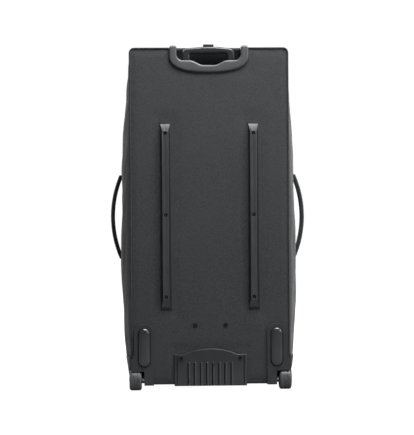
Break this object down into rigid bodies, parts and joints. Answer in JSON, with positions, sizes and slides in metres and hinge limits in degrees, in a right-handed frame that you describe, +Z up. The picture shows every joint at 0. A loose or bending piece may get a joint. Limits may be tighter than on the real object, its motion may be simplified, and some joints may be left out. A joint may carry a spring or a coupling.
{
  "type": "wheeled snowboard bag",
  "caption": "Upright wheeled soft bag for snowboard gear, with a stiff railed back, corner wheels, telescopic handle and a side-hinged zip lid.",
  "frame": {"origin": "centre of the bag's box, on the floor that its wheels and feet stand on", "axes": "+Z up, -Y out of the railed and wheeled back, +Y out of the lid, +X to the right of a viewer who faces the back"},
  "size_m": [0.5, 0.372, 0.867],
  "materials": {
    "fabric_back": "woven polyester, matt",
    "fabric_side": "woven polyester, matt",
    "lining": "light lining cloth",
    "webbing": "black webbing",
    "piping": "cord piping",
    "board": "pressed sheet",
    "plastic_grey": "moulded, satin",
    "plastic_dark": "moulded, fine grain",
    "plastic_black": "moulded, satin",
    "grip_plastic": "moulded, semi-gloss",
    "tyre": "polyurethane, satin",
    "screw_black": "black oxide",
    "steel": "turned steel",
    "alloy": "drawn and anodised",
    "zip": "coil zip",
    "slider_metal": "painted die casting"
  },
  "bodies": {
    "bag": {"back_panel": "fabric_back", "back_board": "board", "side_panel_left": "fabric_side", "side_panel_right": "fabric_side", "top_panel": "fabric_side", "bottom_panel": "fabric_side", "bottom_board": "board", "back_piping": "piping", "tub_zip": "zip", "trolley_cover": "lining", "rail_left": "plastic_grey", "rail_right": "plastic_grey", "rail_screws": "screw_black", "rail_nuts": "steel", "kick_plate": "plastic_dark", "case_screws": "screw_black", "wheel_housing_left": "plastic_dark", "wheel_housing_right": "plastic_dark", "axles": "steel", "axle_caps": "screw_black", "handle_bezel": "plastic_grey", "handle_cup": "plastic_black", "outer_tubes": "alloy", "tube_bushes": "plastic_black", "tube_bracket": "plastic_black", "bracket_screws": "screw_black", "front_feet": "plastic_black", "webbing_anchors": "webbing"},
    "wheel_left": {"tyre_left": "tyre", "hub_left": "plastic_dark", "bearings_left": "steel"},
    "wheel_right": {"tyre_right": "tyre", "hub_right": "plastic_dark", "bearings_right": "steel"},
    "handle_stage": {"stage_tubes": "alloy", "grip_rear": "grip_plastic", "grip_front": "grip_plastic", "grip_screws": "screw_black", "lock_blocks": "plastic_black", "button_springs": "steel"},
    "release_button": {"push_button": "plastic_black", "release_rods": "steel"},
    "lock_pin_left": {"lock_pin_left": "steel"},
    "lock_pin_right": {"lock_pin_right": "steel"},
    "side_loop_left": {"side_handle_left": "webbing"},
    "side_loop_right": {"side_handle_right": "webbing"},
    "haul_loop": {"haul_straps": "webbing", "haul_grip": "webbing"},
    "lid": {"lid_panel": "fabric_side", "lid_gusset": "fabric_side", "lid_zip": "zip", "front_pocket": "fabric_side", "pocket_zip": "zip"},
    "slider_left": {"zip_slider_left": "slider_metal"},
    "pull_left": {"zip_pull_left": "webbing"},
    "slider_right": {"zip_slider_right": "slider_metal"},
    "pull_right": {"zip_pull_right": "webbing"},
    "pocket_slide": {"pocket_slider": "slider_metal"}
  },
  "joints": [
    {"name": "wheel_left_spin", "type": "hinge", "parent": "bag", "child": "wheel_left", "pos_m": [-0.188, -0.157, 0.028], "axis": [1, 0, 0], "continuous": true},
    {"name": "wheel_right_spin", "type": "hinge", "parent": "bag", "child": "wheel_right", "pos_m": [0.188, -0.157, 0.028], "axis": [1, 0, 0], "continuous": true},
    {"name": "handle_slide", "type": "slide", "parent": "bag", "child": "handle_stage", "axis": [0, 0, 1], "range_m": [0, 0.3]},
    {"name": "button_press", "type": "slide", "parent": "handle_stage", "child": "release_button", "axis": [0, 0, -1], "range_m": [0, 0.003], "stiffness_N_per_m": 500, "springref_m": -0.01, "deforming": ["button_springs"]},
    {"name": "lock_pin_left_draw", "type": "slide", "parent": "handle_stage", "child": "lock_pin_left", "axis": [1, 0, 0], "range_m": [0, 0.0018]},
    {"name": "lock_pin_right_draw", "type": "slide", "parent": "handle_stage", "child": "lock_pin_right", "axis": [-1, 0, 0], "range_m": [0, 0.0018]},
    {"name": "side_loop_left_swing", "type": "hinge", "parent": "bag", "child": "side_loop_left", "pos_m": [-0.2265, -0.02, 0.434], "axis": [0, 0, 1], "range_deg": [-30, 30]},
    {"name": "side_loop_right_swing", "type": "hinge", "parent": "bag", "child": "side_loop_right", "pos_m": [0.2265, -0.02, 0.434], "axis": [0, 0, 1], "range_deg": [-30, 30]},
    {"name": "haul_lift", "type": "hinge", "parent": "bag", "child": "haul_loop", "pos_m": [0, -0.06, 0.856], "axis": [1, 0, 0], "range_deg": [0, 100]},
    {"name": "lid_open", "type": "hinge", "parent": "bag", "child": "lid", "pos_m": [-0.2225, 0.1103, 0.4355], "axis": [0, 0, 1], "range_deg": [0, 170]},
    {"name": "slider_left_run", "type": "slide", "parent": "bag", "child": "slider_left", "axis": [-1, 0, 0], "range_m": [0, 0.29]},
    {"name": "pull_left_swing", "type": "hinge", "parent": "slider_left", "child": "pull_left", "pos_m": [0.118, 0.1103, 0.8591], "axis": [-1, 0, 0], "range_deg": [0, 170]},
    {"name": "slider_right_run", "type": "slide", "parent": "bag", "child": "slider_right", "axis": [1, 0, 0], "range_m": [0, 0.035]},
    {"name": "pull_right_swing", "type": "hinge", "parent": "slider_right", "child": "pull_right", "pos_m": [0.134, 0.1103, 0.8591], "axis": [-1, 0, 0], "range_deg": [0, 170]},
    {"name": "pocket_slider_run", "type": "slide", "parent": "lid", "child": "pocket_slide", "axis": [1, 0, 0], "range_m": [0, 0.23]}
  ],
  "couplings": [
    {"joint": "lock_pin_left_draw", "follows": "button_press", "ratio": 0.6},
    {"joint": "lock_pin_right_draw", "follows": "button_press", "ratio": 0.6}
  ]
}
